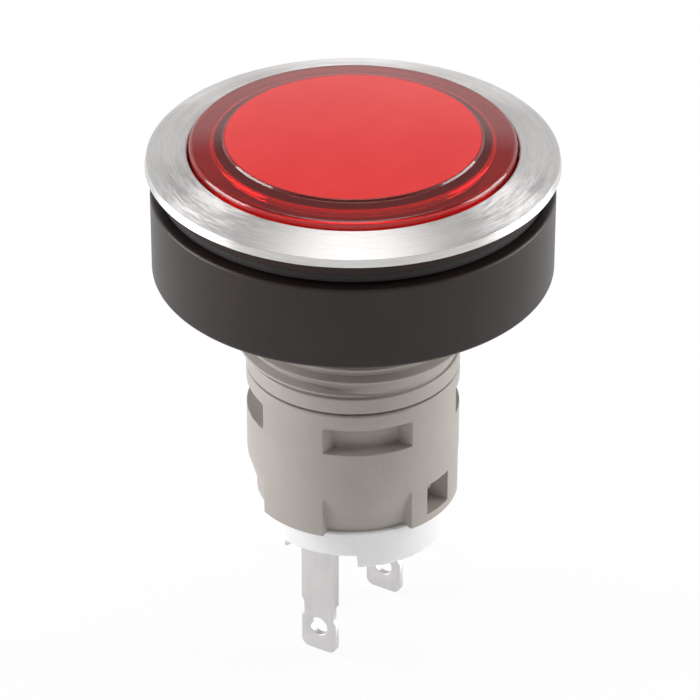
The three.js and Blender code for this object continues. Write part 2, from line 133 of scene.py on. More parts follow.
def turnedStainless():
    # Turned stainless steel: concentric tool marks stretch every reflection into a radial fan.
    material, tree, surface, place = startMaterial(
        "stainless steel, fine turned", Metallic=1.0, Roughness=0.42, Anisotropic=0.9)
    radius, angle, height = radiusAndAngle(tree, place)
    # tool marks 0.12 mm apart, drawn a little coarser than real ones
    along = addNode(tree, "ShaderNodeMath", {0: angle, 1: 0.0012}, operation="MULTIPLY")
    marks = addNode(tree, "ShaderNodeCombineXYZ", {
        "X": radius, "Y": along.outputs[0], "Z": height}).outputs[0]
    fine = addNode(tree, "ShaderNodeTexNoise", {
        "Vector": marks, "Scale": 1 / (0.12 * mm), "Detail": 2.0, "Roughness": 0.6}).outputs[0]
    coarse = addNode(tree, "ShaderNodeTexNoise", {
        "Vector": marks, "Scale": 1 / (0.7 * mm), "Detail": 2.0, "Roughness": 0.6}).outputs[0]
    both = addNode(tree, "ShaderNodeMath", {0: fine, 1: coarse}, operation="ADD").outputs[0]
    share = addNode(tree, "ShaderNodeMapRange", {
        "Value": both, "From Min": 0.8, "From Max": 1.2}).outputs[0]
    colour = addNode(tree, "ShaderNodeMix", {0: share, 6: linear("cfcdcc"), 7: linear("e6e4e3")},
                     data_type="RGBA")
    rough = addNode(tree, "ShaderNodeMapRange", {
        "Value": both, "From Min": 0.8, "From Max": 1.2, "To Min": 0.36, "To Max": 0.48})
    bump = addNode(tree, "ShaderNodeBump", {
        "Height": fine, "Distance": 0.0015 * mm, "Strength": 1.0})
    tree.links.new(colour.outputs[2], surface.inputs["Base Color"])
    tree.links.new(rough.outputs[0], surface.inputs["Roughness"])
    tree.links.new(outward(tree, place), surface.inputs["Tangent"])
    tree.links.new(bump.outputs[0], surface.inputs["Normal"])
    return material


def redPolycarbonate():
    # Transparent polycarbonate dyed red right through, polished, with a satin raised disc.
    material, tree, surface, place = startMaterial(
        "polycarbonate, clear red", Roughness=0.03, IOR=1.585)
    radius = radiusAndAngle(tree, place)[0]
    fine = addNode(tree, "ShaderNodeTexNoise", {
        "Vector": place, "Scale": 1 / (0.16 * mm), "Detail": 2.0, "Roughness": 0.6}).outputs[0]
    broad = addNode(tree, "ShaderNodeTexNoise", {
        "Vector": place, "Scale": 1 / (5.0 * mm), "Detail": 2.0, "Roughness": 0.6}).outputs[0]
    share = addNode(tree, "ShaderNodeMapRange", {
        "Value": broad, "From Min": 0.3, "From Max": 0.7}).outputs[0]
    colour = addNode(tree, "ShaderNodeMix", {0: share, 6: linear("f2201f"), 7: linear("f82c2a")},
                     data_type="RGBA")
    # satin and half opaque on the raised disc, polished and clear outside it
    inside, outside = lensSet["plateau"] * mm * 0.985, lensSet["plateau"] * mm
    rough = addNode(tree, "ShaderNodeMapRange", {
        "Value": radius, "From Min": inside, "From Max": outside, "To Min": 0.26, "To Max": 0.04})
    clear = addNode(tree, "ShaderNodeMapRange", {
        "Value": radius, "From Min": inside, "From Max": outside, "To Min": 0.25, "To Max": 0.9})
    bump = addNode(tree, "ShaderNodeBump", {
        "Height": fine, "Distance": 0.002 * mm, "Strength": 0.5})
    tree.links.new(colour.outputs[2], surface.inputs["Base Color"])
    tree.links.new(rough.outputs[0], surface.inputs["Roughness"])
    tree.links.new(clear.outputs[0], surface.inputs["Transmission Weight"])
    tree.links.new(bump.outputs[0], surface.inputs["Normal"])
    return material


def mouldedPlastic(name, dark, light, roughLow, roughHigh, grainMm, depthMm, **shader):
    # Injection-moulded part: an eroded mould leaves a fine even grain, broken by soft flow marks.
    material, tree, surface, place = startMaterial(name, **shader)
    fine = addNode(tree, "ShaderNodeTexNoise", {
        "Vector": place, "Scale": 1 / (grainMm * mm), "Detail": 3.0, "Roughness": 0.6}).outputs[0]
    broad = addNode(tree, "ShaderNodeTexNoise", {
        "Vector": place, "Scale": 1 / (grainMm * 30 * mm), "Detail": 2.0, "Roughness": 0.6})
    tint = addNode(tree, "ShaderNodeMath", {0: fine, 1: broad.outputs[0]}, operation="ADD")
    share = addNode(tree, "ShaderNodeMapRange", {
        "Value": tint.outputs[0], "From Min": 0.75, "From Max": 1.25}).outputs[0]
    colour = addNode(tree, "ShaderNodeMix", {0: share, 6: linear(dark), 7: linear(light)},
                     data_type="RGBA")
    rough = addNode(tree, "ShaderNodeMapRange", {
        "Value": fine, "From Min": 0.3, "From Max": 0.7, "To Min": roughLow, "To Max": roughHigh})
    bump = addNode(tree, "ShaderNodeBump", {
        "Height": fine, "Distance": depthMm * mm, "Strength": 1.0})
    tree.links.new(colour.outputs[2], surface.inputs["Base Color"])
    tree.links.new(rough.outputs[0], surface.inputs["Roughness"])
    tree.links.new(bump.outputs[0], surface.inputs["Normal"])
    return material


def greyPolyamide():
    # Warm grey glass-filled polyamide with a fine satin grain.
    return mouldedPlastic("polyamide, warm grey", "9e9791", "a7a09a", 0.42, 0.56, 0.14, 0.004,
                          IOR=1.53)


def blackNutPolyamide():
    # Black-brown polyamide, satin enough to carry pale reflections at its edges.
    return mouldedPlastic("polyamide, satin black", "231a1a", "2b2020", 0.36, 0.46, 0.13, 0.003,
                          **{"Specular IOR Level": 0.32})


def blackFlangePolyamide():
    # The same polyamide off a rougher mould, a little duller.
    return mouldedPlastic("polyamide, matt black", "2a1f1e", "322625", 0.5, 0.62, 0.16, 0.006,
                          **{"Specular IOR Level": 0.2})


def blackNitrile():
    # Nitrile rubber: deep black and dull, with a faint dusty bloom.
    return mouldedPlastic("nitrile rubber", "120e0d", "1b1614", 0.65, 0.85, 0.2, 0.006, IOR=1.52)


def whitePolyester():
    # White polyester: smooth, bright and a little glossy.
    return mouldedPlastic("polyester, white", "e6e6e7", "eeeeee", 0.35, 0.46, 0.2, 0.002, IOR=1.57)


def milkyPolycarbonate():
    # Milky diffuser film, dull on both faces.
    return mouldedPlastic("polycarbonate film, milky", "ece8e2", "f5f2ec", 0.5, 0.6, 0.3, 0.002,
                          IOR=1.585)


def drawnMetal(name, dark, light, roughLow, roughHigh, grainMm):
    # Rolled or drawn metal: fine lines along its length over a soft mottle.
    material, tree, surface, place = startMaterial(name, Metallic=1.0)
    stretched = addNode(tree, "ShaderNodeMapping", {"Vector": place, "Scale": (1, 1, 0.08)})
    fine = addNode(tree, "ShaderNodeTexNoise", {
        "Vector": stretched.outputs[0], "Scale": 1 / (grainMm * mm), "Detail": 3.0,
        "Roughness": 0.6}).outputs[0]
    broad = addNode(tree, "ShaderNodeTexNoise", {
        "Vector": place, "Scale": 1 / (grainMm * 14 * mm), "Detail": 3.0, "Roughness": 0.6})
    both = addNode(tree, "ShaderNodeMath", {0: fine, 1: broad.outputs[0]},
                   operation="ADD").outputs[0]
    share = addNode(tree, "ShaderNodeMapRange", {
        "Value": both, "From Min": 0.75, "From Max": 1.25}).outputs[0]
    colour = addNode(tree, "ShaderNodeMix", {0: share, 6: linear(dark), 7: linear(light)},
                     data_type="RGBA")
    rough = addNode(tree, "ShaderNodeMapRange", {
        "Value": both, "From Min": 0.75, "From Max": 1.25, "To Min": roughLow, "To Max": roughHigh})
    bump = addNode(tree, "ShaderNodeBump", {
        "Height": fine, "Distance": 0.001 * mm, "Strength": 1.0})
    tree.links.new(colour.outputs[2], surface.inputs["Base Color"])
    tree.links.new(rough.outputs[0], surface.inputs["Roughness"])
    tree.links.new(bump.outputs[0], surface.inputs["Normal"])
    return material


def tinnedBrass():
    # Stamped brass under matt tin: pale, softly blurred, never mirror-bright.
    return drawnMetal("brass, matt tin plated", "c4c2c2", "cfcdcc", 0.42, 0.52, 0.3)


def springSteel():
    # Drawn spring wire, bright with faint draw lines.
    return drawnMetal("spring steel, drawn", "a2a4a8", "b9babc", 0.25, 0.38, 0.08)


def zincSteel():
    # Zinc-plated pressing, slightly blue and cloudy.
    return drawnMetal("steel, zinc plated", "a9adb2", "c3c6ca", 0.3, 0.46, 0.3)


def phosphorBronze():
    # Phosphor bronze strip, pinkish and bright.
    return drawnMetal("phosphor bronze", "b0814f", "c79763", 0.28, 0.42, 0.12)


def silverAlloy():
    # Silver contact alloy, white and softly worn.
    return drawnMetal("silver alloy", "d8d6d0", "ece9e2", 0.22, 0.34, 0.1)


def rounded(outline, steps=6):
    # Corners (radius, height, fillet) of an outline, with the fillets drawn as arcs. Each arc has
    # a short flat run beside it, so that smooth shading stays on the arc.
    points = []
    run = 0.03
    for i, (x, y, fillet) in enumerate(outline):
        here = Vector((x, y))
        if fillet <= 0:
            points.append(here)
            continue
        before = Vector(outline[i - 1][:2]) - here
        after = Vector(outline[(i + 1) % len(outline)][:2]) - here
        half = before.angle(after) / 2
        reach = min(fillet / math.tan(half), 0.45 * before.length, 0.45 * after.length)
        size = reach * math.tan(half)
        middle = here + (before.normalized() + after.normalized()).normalized() * size / math.sin(half)
        start = here + before.normalized() * reach - middle
        end = here + after.normalized() * reach - middle
        first = math.atan2(start.y, start.x)
        sweep = (math.atan2(end.y, end.x) - first + math.pi) % (2 * math.pi) - math.pi
        if before.length - reach > 2 * run:
            points.append(middle + start + before.normalized() * run)
        for k in range(steps + 1):
            angle = first + sweep * k / steps
            points.append(middle + size * Vector((math.cos(angle), math.sin(angle))))
        if after.length - reach > 2 * run:
            points.append(middle + end + after.normalized() * run)
    return points


def stitch(mesh, first, second):
    # faces between two rings of the same length, either of which may be a single point
    count = max(len(first), len(second))
    for k in range(count if count > 1 else 0):
        corners = [first[k % len(first)], first[(k + 1) % len(first)],
                   second[(k + 1) % len(second)], second[k % len(second)]]
        unique = list(dict.fromkeys(corners))
        if len(unique) > 2:
            mesh.faces.new(unique)


def turned(outline, steps=turnSteps):
    # a closed solid of revolution about Z
    mesh = bmesh.new()
    rings = []
    for point in outline:
        if point[0] < 1e-6:
            rings.append([mesh.verts.new((0, 0, point[1] * mm))])
            continue
        rings.append([mesh.verts.new((
            point[0] * mm * math.cos(2 * math.pi * k / steps),
            point[0] * mm * math.sin(2 * math.pi * k / steps),
            point[1] * mm)) for k in range(steps)])
    for i, ring in enumerate(rings):
        stitch(mesh, ring, rings[(i + 1) % len(rings)])
    bmesh.ops.recalc_face_normals(mesh, faces=mesh.faces)
    return mesh


def wrapped(angles, section, gaps=()):
    # A tube whose section may change with the angle. section(angle) gives the same number of
    # (radius, height) corners every time. Each gap is (from angle, to angle, outer corners,
    # inner corners) and is a hole through the wall between those corners.
    mesh = bmesh.new()
    columns = []
    for angle in angles:
        a = math.radians(angle)
        columns.append([mesh.verts.new((r * mm * math.cos(a), r * mm * math.sin(a), z * mm))
                        for r, z in section(angle)])
    count = len(columns[0])

    def quad(*corners):
        unique = list(dict.fromkeys(corners))
        if len(unique) > 2:
            mesh.faces.new(unique)

    for i, here in enumerate(columns):
        after = columns[(i + 1) % len(columns)]
        middle = angles[i] + ((angles[(i + 1) % len(angles)] - angles[i]) % 360) / 2
        hole = next((g for g in gaps if 0 < (middle - g[0]) % 360 < (g[1] - g[0]) % 360), None)
        for k in range(count):
            n = (k + 1) % count
            if hole and (hole[2][0] <= k < hole[2][1] or hole[3][0] <= k < hole[3][1]):
                continue
            quad(here[k], here[n], after[n], after[k])
        if not hole:
            continue
        (outTop, outLow), (inLow, inTop) = hole[2], hole[3]
        quad(here[outTop], after[outTop], after[inTop], here[inTop])
        quad(here[outLow], here[inLow], after[inLow], after[outLow])
        if abs((angles[i] - hole[0] + 180) % 360 - 180) < 1e-6:
            mesh.faces.new([*here[outTop:outLow + 1], *here[inLow:inTop + 1]])
        if abs((angles[(i + 1) % len(angles)] - hole[1] + 180) % 360 - 180) < 1e-6:
            mesh.faces.new([*reversed(after[inLow:inTop + 1]), *reversed(after[outTop:outLow + 1])])
    bmesh.ops.recalc_face_normals(mesh, faces=mesh.faces)
    return mesh


def makePiece(name, mesh, material, body, slotName, *stoodFor, sharp=35):
    data = mesh
    if isinstance(mesh, bmesh.types.BMesh):
        data = bpy.data.meshes.new(name)
        mesh.to_mesh(data)
        mesh.free()
    data.materials.clear()
    data.materials.append(material)
    data.shade_smooth()
    data.set_sharp_from_angle(angle=math.radians(sharp))
    piece = bpy.data.objects.new(name, data)
    bpy.context.scene.collection.objects.link(piece)
    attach(piece, body)
    if stoodFor:
        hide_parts(*stoodFor)
    return piece


def bevel(piece, widthMm, segments=2, angle=35):
    modifier = piece.modifiers.new("edges", "BEVEL")
    modifier.width = widthMm * mm
    modifier.segments = segments
    modifier.limit_method = "ANGLE"
    modifier.angle_limit = math.radians(angle)
    modifier.harden_normals = True


def block(mesh, sizeX, sizeY, bottom, top, x=0.0, y=0.0):
    made = bmesh.ops.create_cube(mesh, size=1)["verts"]
    for vertex in made:
        vertex.co = ((x + vertex.co.x * sizeX) * mm, (y + vertex.co.y * sizeY) * mm,
                     (bottom + (vertex.co.z + 0.5) * (top - bottom)) * mm)


def cutFrom(piece, cutter):
    data = bpy.data.meshes.new("cutter")
    cutter.to_mesh(data)
    cutter.free()
    tool = bpy.data.objects.new("cutter", data)
    bpy.context.scene.collection.objects.link(tool)
    modifier = piece.modifiers.new("cut", "BOOLEAN")
    modifier.operation = "DIFFERENCE"
    modifier.solver = "EXACT"
    modifier.object = tool
    bpy.context.view_layer.update()
    depsgraph = bpy.context.evaluated_depsgraph_get()
    result = bpy.data.meshes.new_from_object(piece.evaluated_get(depsgraph), depsgraph=depsgraph)
    piece.modifiers.clear()
    piece.data = result
    piece.data.set_sharp_from_angle(angle=math.radians(35))
    bpy.data.objects.remove(tool)


bezelSet = {
    "draft": 0.11,
    "rimHeight": 0.58,
    "width": 2.85,
    "edge": 0.07,
    "innerEdge": 0.12,
    "crown": 0.05,  # the cone is very slightly rounded
}


def addBezel():
    s = bezelSet
    outer, bottom, top = high("bezel_ring", 0), low("bezel_ring"), high("bezel_ring")
    inner = outer - s["width"]
    rim = bottom + s["rimHeight"]
    middle = ((outer + inner) / 2, (rim + top) / 2 + s["crown"])
    outline = rounded([
        (inner, bottom, 0.05),
        (outer, bottom, s["edge"]),
        (outer - s["draft"], rim, s["edge"]),
        (*middle, 0),
        (inner, top, s["innerEdge"]),
    ])
    makePiece("bezel", turned(outline), turnedStainless(), "casing", "stainless_steel",
              "bezel_ring", sharp=60)


lensSet = {
    "plateau": 8.68,
    "plateauRise": 0.41,
    "dome": 0.22,
    "step": 0.16,
    "stepSlope": 0.1,
    "edge": 0.3,
    "rimWidth": 1.55,
    "wall": 0.55,
    "domePoints": 10,
}


def addLens(material):
    s = lensSet
    outer, bottom = high("lens_cap", 0), low("lens_cap")
    top = high("lens_cap") - s["dome"]
    edge = top - s["plateauRise"]
    ceiling = top - s["wall"]
    inner = outer - s["rimWidth"]
    dome = [(s["plateau"] * (1 - k / s["domePoints"]),
             top + s["dome"] * (1 - (1 - k / s["domePoints"]) ** 2), 0)
            for k in range(1, s["domePoints"] + 1)]
    outline = rounded([
        (0, ceiling, 0),
        (inner, ceiling, 0.08),
        (inner, bottom, 0.08),
        (outer, bottom, 0.1),
        (outer, edge, s["edge"]),
        (s["plateau"] + s["stepSlope"], top - s["step"], 0.05),
        (s["plateau"], top, 0.06),
        *dome,
    ], steps=8)
    makePiece("lens", turned(outline), material, "button", "red_polycarbonate", "lens_cap", sharp=60)


carrierSet = {
    "play": 0.1,
    "tubeWall": 0.8,
    "tubeInset": 1.1,
}


def addCarrier(white, milky):
    film = high("diffuser_disc", 0)
    filmLow, filmHigh = low("diffuser_disc"), high("diffuser_disc")
    disc = rounded([(0, filmLow, 0), (film, filmLow, 0.04), (film, filmHigh, 0.04), (0, filmHigh, 0)])
    makePiece("diffuser", turned(disc), milky, "button", "milky_plastic", "diffuser_disc")
    s = carrierSet
    outer, bottom, top = high("lens_carrier", 0), low("lens_carrier"), high("lens_carrier")
    under = low("lens_cap")
    tube = high("plunger", 0) + 0.4 - s["tubeInset"]
    bore = tube - s["tubeWall"]
    outline = rounded([
        (bore, bottom, 0.05),
        (tube, bottom, 0.1),
        (tube, under, 0.15),
        (outer, under, 0.06),
        (outer, top, 0.05),
        (film + s["play"], top, 0.05),
        (film + s["play"], filmLow, 0),
        (bore, filmLow, 0.05),
    ])
    makePiece("lensCarrier", turned(outline), white, "button", "white_plastic", "lens_carrier")


flangeSet = {
    "well": 11.3,
    "wellFloor": 0.5,
    "web": 0.6,
    "neck": 6.4,
    "neckWall": 0.7,
    "guide": 4.75,
    "guideTop": -1.2,
    "guideLength": 1.2,
    "edge": 0.08,
}


def addFlange(material):
    s = flangeSet
    outer, bottom, top = high("front_flange", 0), low("front_flange"), high("front_flange")
    seal = high("flange_seal")
    bore = s["neck"] - s["neckWall"]
    outline = rounded([
        (bore, bottom, 0.05),
        (s["neck"], bottom, 0.1),
        (s["neck"], 0, 0.05),
        (s["well"] + s["web"], 0, 0.05),
        (s["well"] + s["web"], seal, 0),
        (outer, seal, s["edge"]),
        (outer, top, 0.05),
        (s["well"], top, 0.05),
        (s["well"], s["wellFloor"], 0.2),
        (bore, s["wellFloor"], 0.1),
        (bore, s["guideTop"], 0.05),
        (s["guide"], s["guideTop"], 0.05),
        (s["guide"], s["guideTop"] - s["guideLength"], 0.05),
        (bore, s["guideTop"] - s["guideLength"], 0.05),
    ])
    makePiece("flange", turned(outline), material, "casing", "black_plastic", "front_flange")


def addSeal(material):
    outer, top = high("flange_seal", 0), high("flange_seal")
    inner = flangeSet["well"] + flangeSet["web"] + 0.1
    bulge = 0.05
    outline = rounded([
        (inner, 0, 0.1),
        (outer - bulge, 0, 0.15),
        (outer, top / 2, 0.2),
        (outer - bulge, top, 0.1),
        (inner, top, 0.1),
    ])
    makePiece("seal", turned(outline), material, "casing", "black_rubber", "flange_seal")


nutSet = {
    "edge": 0.3,
    "topEdge": 0.22,
    "shell": 1.3,
    "hub": 1.5,
    "major": 8.12,
    "minor": 7.51,
    "topPlate": 2.0,
    "lip": 2.1,
    "counterbore": 0.85,
    "ribs": 8,
    "ribWidth": 1.1,
}


def addNut(material):
    s = nutSet
    outer, bottom, top = high("ring_nut", 0), low("ring_nut"), high("ring_nut")
    hub, shell = s["major"] + s["hub"], outer - s["shell"]
    seat, ceiling = outer - s["lip"] + 0.1, top - s["topPlate"]
    outline = rounded([
        (s["major"], bottom, 0.25),
        (hub, bottom, 0.15),
        (hub, ceiling, 0.3),
        (shell, ceiling, 0.3),
        (shell, bottom, 0.15),
        (outer, bottom, s["edge"]),
        (outer, top, s["topEdge"]),
        (seat, top, 0.1),
        (seat, top - s["counterbore"], 0.05),
        (s["major"], top - s["counterbore"], 0.2),
    ])
    makePiece("ringNut", turned(outline), material, "nut", "nut_plastic", "ring_nut")
    ribs = ribArray(hub - 0.2, shell + 0.2, bottom + s["edge"], ceiling + 0.2)
    makePiece("ringNutRibs", ribs, material, "nut", "nut_plastic")
    thread = helix("nutThread", threadProfile(s["major"] + 0.1, s["minor"], -1),
                   threadSet["pitch"], 4.4, bottom + 0.5, threadSet["phase"] + 180)
    makePiece("ringNutThread", thread, material, "nut", "nut_plastic")


def newTree(name, sockets):
    tree = bpy.data.node_groups.new(name, "GeometryNodeTree")
    tree.interface.new_socket("Geometry", in_out="INPUT", socket_type="NodeSocketGeometry")
    for label, kind, value in sockets:
        socket = tree.interface.new_socket(label, in_out="INPUT", socket_type=kind)
        if value is not None:
            socket.default_value = value
    tree.interface.new_socket("Geometry", in_out="OUTPUT", socket_type="NodeSocketGeometry")
    return tree


def runTree(name, source, tree, values):
    # source is a mesh or a curve; the result is a plain mesh
    holder = bpy.data.objects.new(name, source)
    bpy.context.scene.collection.objects.link(holder)
    modifier = holder.modifiers.new(name, "NODES")
    modifier.node_group = tree
    for item in tree.interface.items_tree:
        if item.in_out == "INPUT" and item.name in values:
            modifier[item.identifier] = values[item.name]
    holder.update_tag()
    bpy.context.view_layer.update()
    depsgraph = bpy.context.evaluated_depsgraph_get()
    mesh = bpy.data.meshes.new_from_object(holder.evaluated_get(depsgraph), depsgraph=depsgraph)
    holder.modifiers.remove(modifier)
    bpy.data.objects.remove(holder)
    return mesh


def ribTree():
    # ribs set round the axis, each a block between the nut's hub and its shell
    tree = newTree("rib ring", [
        ("Count", "NodeSocketInt", 8),
        ("Inner", "NodeSocketFloat", 0.01),
        ("Outer", "NodeSocketFloat", 0.012),
        ("Width", "NodeSocketFloat", 0.001),
        ("Low", "NodeSocketFloat", 0.0),
        ("High", "NodeSocketFloat", 0.001),
        ("Material", "NodeSocketMaterial", None),
    ])
    ask = addNode(tree, "NodeGroupInput").outputs
    circle = addNode(tree, "GeometryNodeMeshCircle", {"Vertices": ask["Count"], "Radius": 0.001})
    length = addNode(tree, "ShaderNodeMath", {0: ask["Outer"], 1: ask["Inner"]}, operation="SUBTRACT")
    tall = addNode(tree, "ShaderNodeMath", {0: ask["High"], 1: ask["Low"]}, operation="SUBTRACT")
    size = addNode(tree, "ShaderNodeCombineXYZ", {
        "X": length.outputs[0], "Y": ask["Width"], "Z": tall.outputs[0]})
    block = addNode(tree, "GeometryNodeMeshCube", {
        "Size": size.outputs[0], "Vertices X": 3, "Vertices Y": 3, "Vertices Z": 3})
    reach = addNode(tree, "ShaderNodeMath", {0: ask["Outer"], 1: ask["Inner"]}, operation="ADD")
    half = addNode(tree, "ShaderNodeMath", {0: reach.outputs[0], 1: 0.5}, operation="MULTIPLY")
    level = addNode(tree, "ShaderNodeMath", {0: ask["High"], 1: ask["Low"]}, operation="ADD")
    levelHalf = addNode(tree, "ShaderNodeMath", {0: level.outputs[0], 1: 0.5}, operation="MULTIPLY")
    shift = addNode(tree, "ShaderNodeCombineXYZ", {"X": half.outputs[0], "Z": levelHalf.outputs[0]})
    moved = addNode(tree, "GeometryNodeTransform", {
        "Geometry": block.outputs[0], "Translation": shift.outputs[0]})
    index = addNode(tree, "GeometryNodeInputIndex")
    step = addNode(tree, "ShaderNodeMath", {0: 2 * math.pi, 1: ask["Count"]}, operation="DIVIDE")
    turn = addNode(tree, "ShaderNodeMath", {0: index.outputs[0], 1: step.outputs[0]},
                   operation="MULTIPLY")
    spin = addNode(tree, "ShaderNodeCombineXYZ", {"Z": turn.outputs[0]})
    centred = addNode(tree, "GeometryNodeSetPosition", {
        "Geometry": circle.outputs[0], "Position": (0, 0, 0)})
    copies = addNode(tree, "GeometryNodeInstanceOnPoints", {
        "Points": centred.outputs[0], "Instance": moved.outputs[0], "Rotation": spin.outputs[0]})
    real = addNode(tree, "GeometryNodeRealizeInstances", {"Geometry": copies.outputs[0]})
    paint = addNode(tree, "GeometryNodeSetMaterial", {
        "Geometry": real.outputs[0], "Material": ask["Material"]})
    addNode(tree, "NodeGroupOutput", {0: paint.outputs[0]})
    return tree


def ribArray(inner, outer, bottom, top):
    s = nutSet
    return runTree("nutRibs", bpy.data.meshes.new("nutRibs"), ribTree(), {
        "Count": s["ribs"], "Inner": inner * mm, "Outer": outer * mm,
        "Width": s["ribWidth"] * mm, "Low": bottom * mm, "High": top * mm,
    })


def helixTree():
    # a profile curve swept along a right-handed helix about Z
    tree = newTree("helix sweep", [
        ("Radius", "NodeSocketFloat", 0.008),
        ("Height", "NodeSocketFloat", 0.01),
        ("Turns", "NodeSocketFloat", 10.0),
        ("Start", "NodeSocketFloat", 0.0),
        ("Phase", "NodeSocketFloat", 0.0),
        ("Steps", "NodeSocketInt", 96),
        ("Material", "NodeSocketMaterial", None),
    ])
    ask = addNode(tree, "NodeGroupInput").outputs
    spiral = addNode(tree, "GeometryNodeCurveSpiral", {
        "Resolution": ask["Steps"], "Rotations": ask["Turns"], "Start Radius": ask["Radius"],
        "End Radius": ask["Radius"], "Height": ask["Height"], "Reverse": False})
    upright = addNode(tree, "GeometryNodeSetCurveNormal", {"Curve": spiral.outputs[0]}, mode="Z_UP")
    lift = addNode(tree, "ShaderNodeCombineXYZ", {"Z": ask["Start"]})
    spin = addNode(tree, "ShaderNodeCombineXYZ", {"Z": ask["Phase"]})
    placed = addNode(tree, "GeometryNodeTransform", {
        "Geometry": upright.outputs[0], "Translation": lift.outputs[0], "Rotation": spin.outputs[0]})
    # the ridge runs out over its first and last quarter turn
    along = addNode(tree, "GeometryNodeSplineParameter")
    rest = addNode(tree, "ShaderNodeMath", {0: 1.0, 1: along.outputs["Factor"]},
                   operation="SUBTRACT")
    near = addNode(tree, "ShaderNodeMath", {0: along.outputs["Factor"], 1: rest.outputs[0]},
                   operation="MINIMUM")
    turns = addNode(tree, "ShaderNodeMath", {0: near.outputs[0], 1: ask["Turns"]},
                    operation="MULTIPLY")
    fade = addNode(tree, "ShaderNodeMapRange", {
        "Value": turns.outputs[0], "From Min": 0.0, "From Max": 0.2,
        "To Min": 0.05, "To Max": 1.0}, interpolation_type="SMOOTHSTEP")
    swept = addNode(tree, "GeometryNodeCurveToMesh", {
        "Curve": placed.outputs[0], "Profile Curve": ask["Geometry"],
        "Scale": fade.outputs[0], "Fill Caps": True})
    real = addNode(tree, "GeometryNodeRealizeInstances", {"Geometry": swept.outputs[0]})
    paint = addNode(tree, "GeometryNodeSetMaterial", {
        "Geometry": real.outputs[0], "Material": ask["Material"]})
    addNode(tree, "NodeGroupOutput", {0: paint.outputs[0]})
    return tree


def threadProfile(root, crest, outward):
    # half a millimetre wide at the root, a rounded crest, drawn about the crest's radius
    s = threadSet
    depth = abs(crest - root)
    half = s["pitch"] * s["rootShare"]
    tip = s["pitch"] * s["crestShare"]
    points = [(-depth, -half), (-tip * 1.2, -tip * 1.6), (-tip * 0.4, -tip), (0, -tip * 0.4),
              (0, tip * 0.4), (-tip * 0.4, tip), (-tip * 1.2, tip * 1.6), (-depth, half)]
    return crest, [(outward * x, y) for x, y in points]


def helix(name, profile, pitch, turns, start, phase):
    radius, points = profile
    curve = bpy.data.curves.new(name, "CURVE")
    curve.dimensions = "3D"
    spline = curve.splines.new("POLY")
    spline.points.add(len(points) - 1)
    for point, (x, y) in zip(spline.points, points):
        point.co = (-x * mm, y * mm, 0, 1)  # the sweep takes x inwards
    spline.use_cyclic_u = True
    mesh = runTree(name, curve, helixTree(), {
        "Radius": radius * mm, "Height": pitch * turns * mm, "Turns": turns,
        "Start": start * mm, "Phase": math.radians(phase), "Steps": threadSet["steps"],
    })
    fixed = bmesh.new()
    fixed.from_mesh(mesh)
    bmesh.ops.remove_doubles(fixed, verts=fixed.verts, dist=1e-7)
    bmesh.ops.recalc_face_normals(fixed, faces=fixed.faces)
    return fixed


threadSet = {
    "pitch": 1.0,
    "crest": 8.0,
    "core": 7.39,
    "rootShare": 0.3,
    "crestShare": 0.07,
    "phase": -30,
    "steps": 72,
    "top": -0.9,
    "relief": 0.5,
    "collar": 1.15,
    "bore": 6.5,
    "keyAngle": 120,
    "keyWidth": 1.6,
    "keyDepth": 0.75,
}


def cutKeyway(piece, bottom):
    # the slot down the thread that the lock washer's tongue slides in
    s = threadSet
    cutter = bmesh.new()
    block(cutter, s["keyDepth"] + 1, s["keyWidth"], bottom, 1,
          s["crest"] - s["keyDepth"] + (s["keyDepth"] + 1) / 2, 0)
    bmesh.ops.rotate(cutter, verts=cutter.verts, cent=(0, 0, 0),
                     matrix=Matrix.Rotation(math.radians(s["keyAngle"]), 3, "Z"))
    cutFrom(piece, cutter)


def addSleeve(material):
    s = threadSet
    end = low("threaded_sleeve")
    collar = end + s["collar"]
    outline = rounded([
        (s["bore"], end, 0.05),
        (s["core"], end, 0.08),
        (s["core"], collar, 0.12),
        (s["core"] - 0.3, collar, 0.1),
        (s["core"] - 0.3, collar + s["relief"] * 0.6, 0.1),
        (s["core"], collar + s["relief"], 0.05),
        (s["core"], s["top"], 0.05),
        (s["crest"] - 0.25, s["top"] + 0.3, 0.05),
        (s["crest"] - 0.25, 0, 0.05),
        (s["bore"], 0, 0.05),
    ])
    tube = makePiece("sleeve", turned(outline), material, "casing", "grey_plastic",
                     "threaded_sleeve")
    first = collar + s["relief"] + 0.1
    turns = math.floor((s["top"] - first) / s["pitch"])
    ridge = helix("sleeveThread", threadProfile(s["core"] - 0.1, s["crest"], 1),
                  s["pitch"], turns, first, s["phase"])
    thread = makePiece("sleeveThread", ridge, material, "casing", "grey_plastic")
    for piece in (tube, thread):
        cutKeyway(piece, collar)


housingSet = {
    "wall": 1.69,
    "spigot": 6.4,
    "partition": 1.0,
    "stemHole": 2.35,
    "windowFirst": -50,
    "windows": 4,
    "windowDrop": 1.35,
    "windowHeight": 1.8,
    "windowDepth": 1.1,
    "windowHalf": 24.8,
    "floorHalf": 20.6,
    "ramps": ((-50, 24.8), (48, 24.8), (130, 24.8), (216, 28.8)),  # middle and half width
    "rampHeight": 3.1,
    "rampDepth": 0.9,
    "rampSide": 1.3,
    "latchFirst": -5,
    "latchHalf": 9.33,
    "latchUp": 1.8,
    "latchSize": 2.4,
    "nibDepth": 0.6,
    "nibPlay": 0.1,
    "nibHeight": 1.7,
    "step": 2.5,
}


